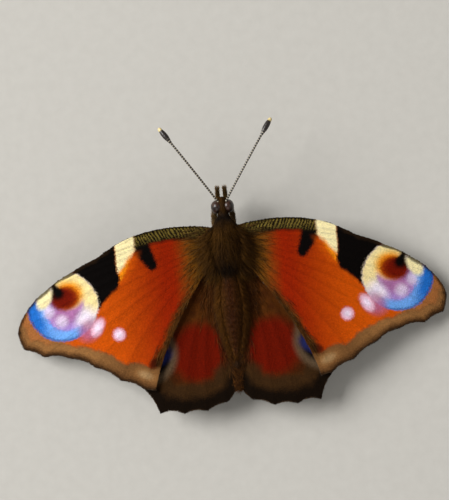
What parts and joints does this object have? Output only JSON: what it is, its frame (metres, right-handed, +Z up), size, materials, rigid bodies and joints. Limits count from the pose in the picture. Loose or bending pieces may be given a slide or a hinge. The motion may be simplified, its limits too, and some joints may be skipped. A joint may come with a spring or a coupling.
{
  "type": "peacock butterfly",
  "caption": "Life-size butterfly standing with its wings spread flat: red-brown wings with an eyespot near each tip, a furry body, clubbed antennae and slender legs.",
  "frame": {"origin": "on the ground under the middle of the whole animal's box", "axes": "+X towards the animal's left, -Y forward along its body, +Z up"},
  "size_m": [0.0604, 0.0394, 0.0099],
  "materials": {
    "forewing_scales": "matt velvety scales: orange-red with black, cream, blue and lilac marks",
    "hindwing_scales": "matt velvety scales: brown with a dark red patch and a blue-black eyespot",
    "fur": "dense golden-brown to dark brown hair over dark skin",
    "cuticle": "satin dark brown insect horn, thinly scaled",
    "eye": "glossy dark brown compound eye"
  },
  "bodies": {
    "root": {"thorax": "fur", "abdomen": "fur", "head": "fur", "proboscis": "cuticle", "eye_left": "eye", "antenna_left": "cuticle", "palp_left": "fur", "foreleg_left": "fur", "midleg_left": "cuticle", "hindleg_left": "cuticle", "forewing_left": "forewing_scales", "hindwing_left": "hindwing_scales", "eye_right": "eye", "antenna_right": "cuticle", "palp_right": "fur", "foreleg_right": "fur", "midleg_right": "cuticle", "hindleg_right": "cuticle", "forewing_right": "forewing_scales", "hindwing_right": "hindwing_scales"}
  },
  "joints": []
}
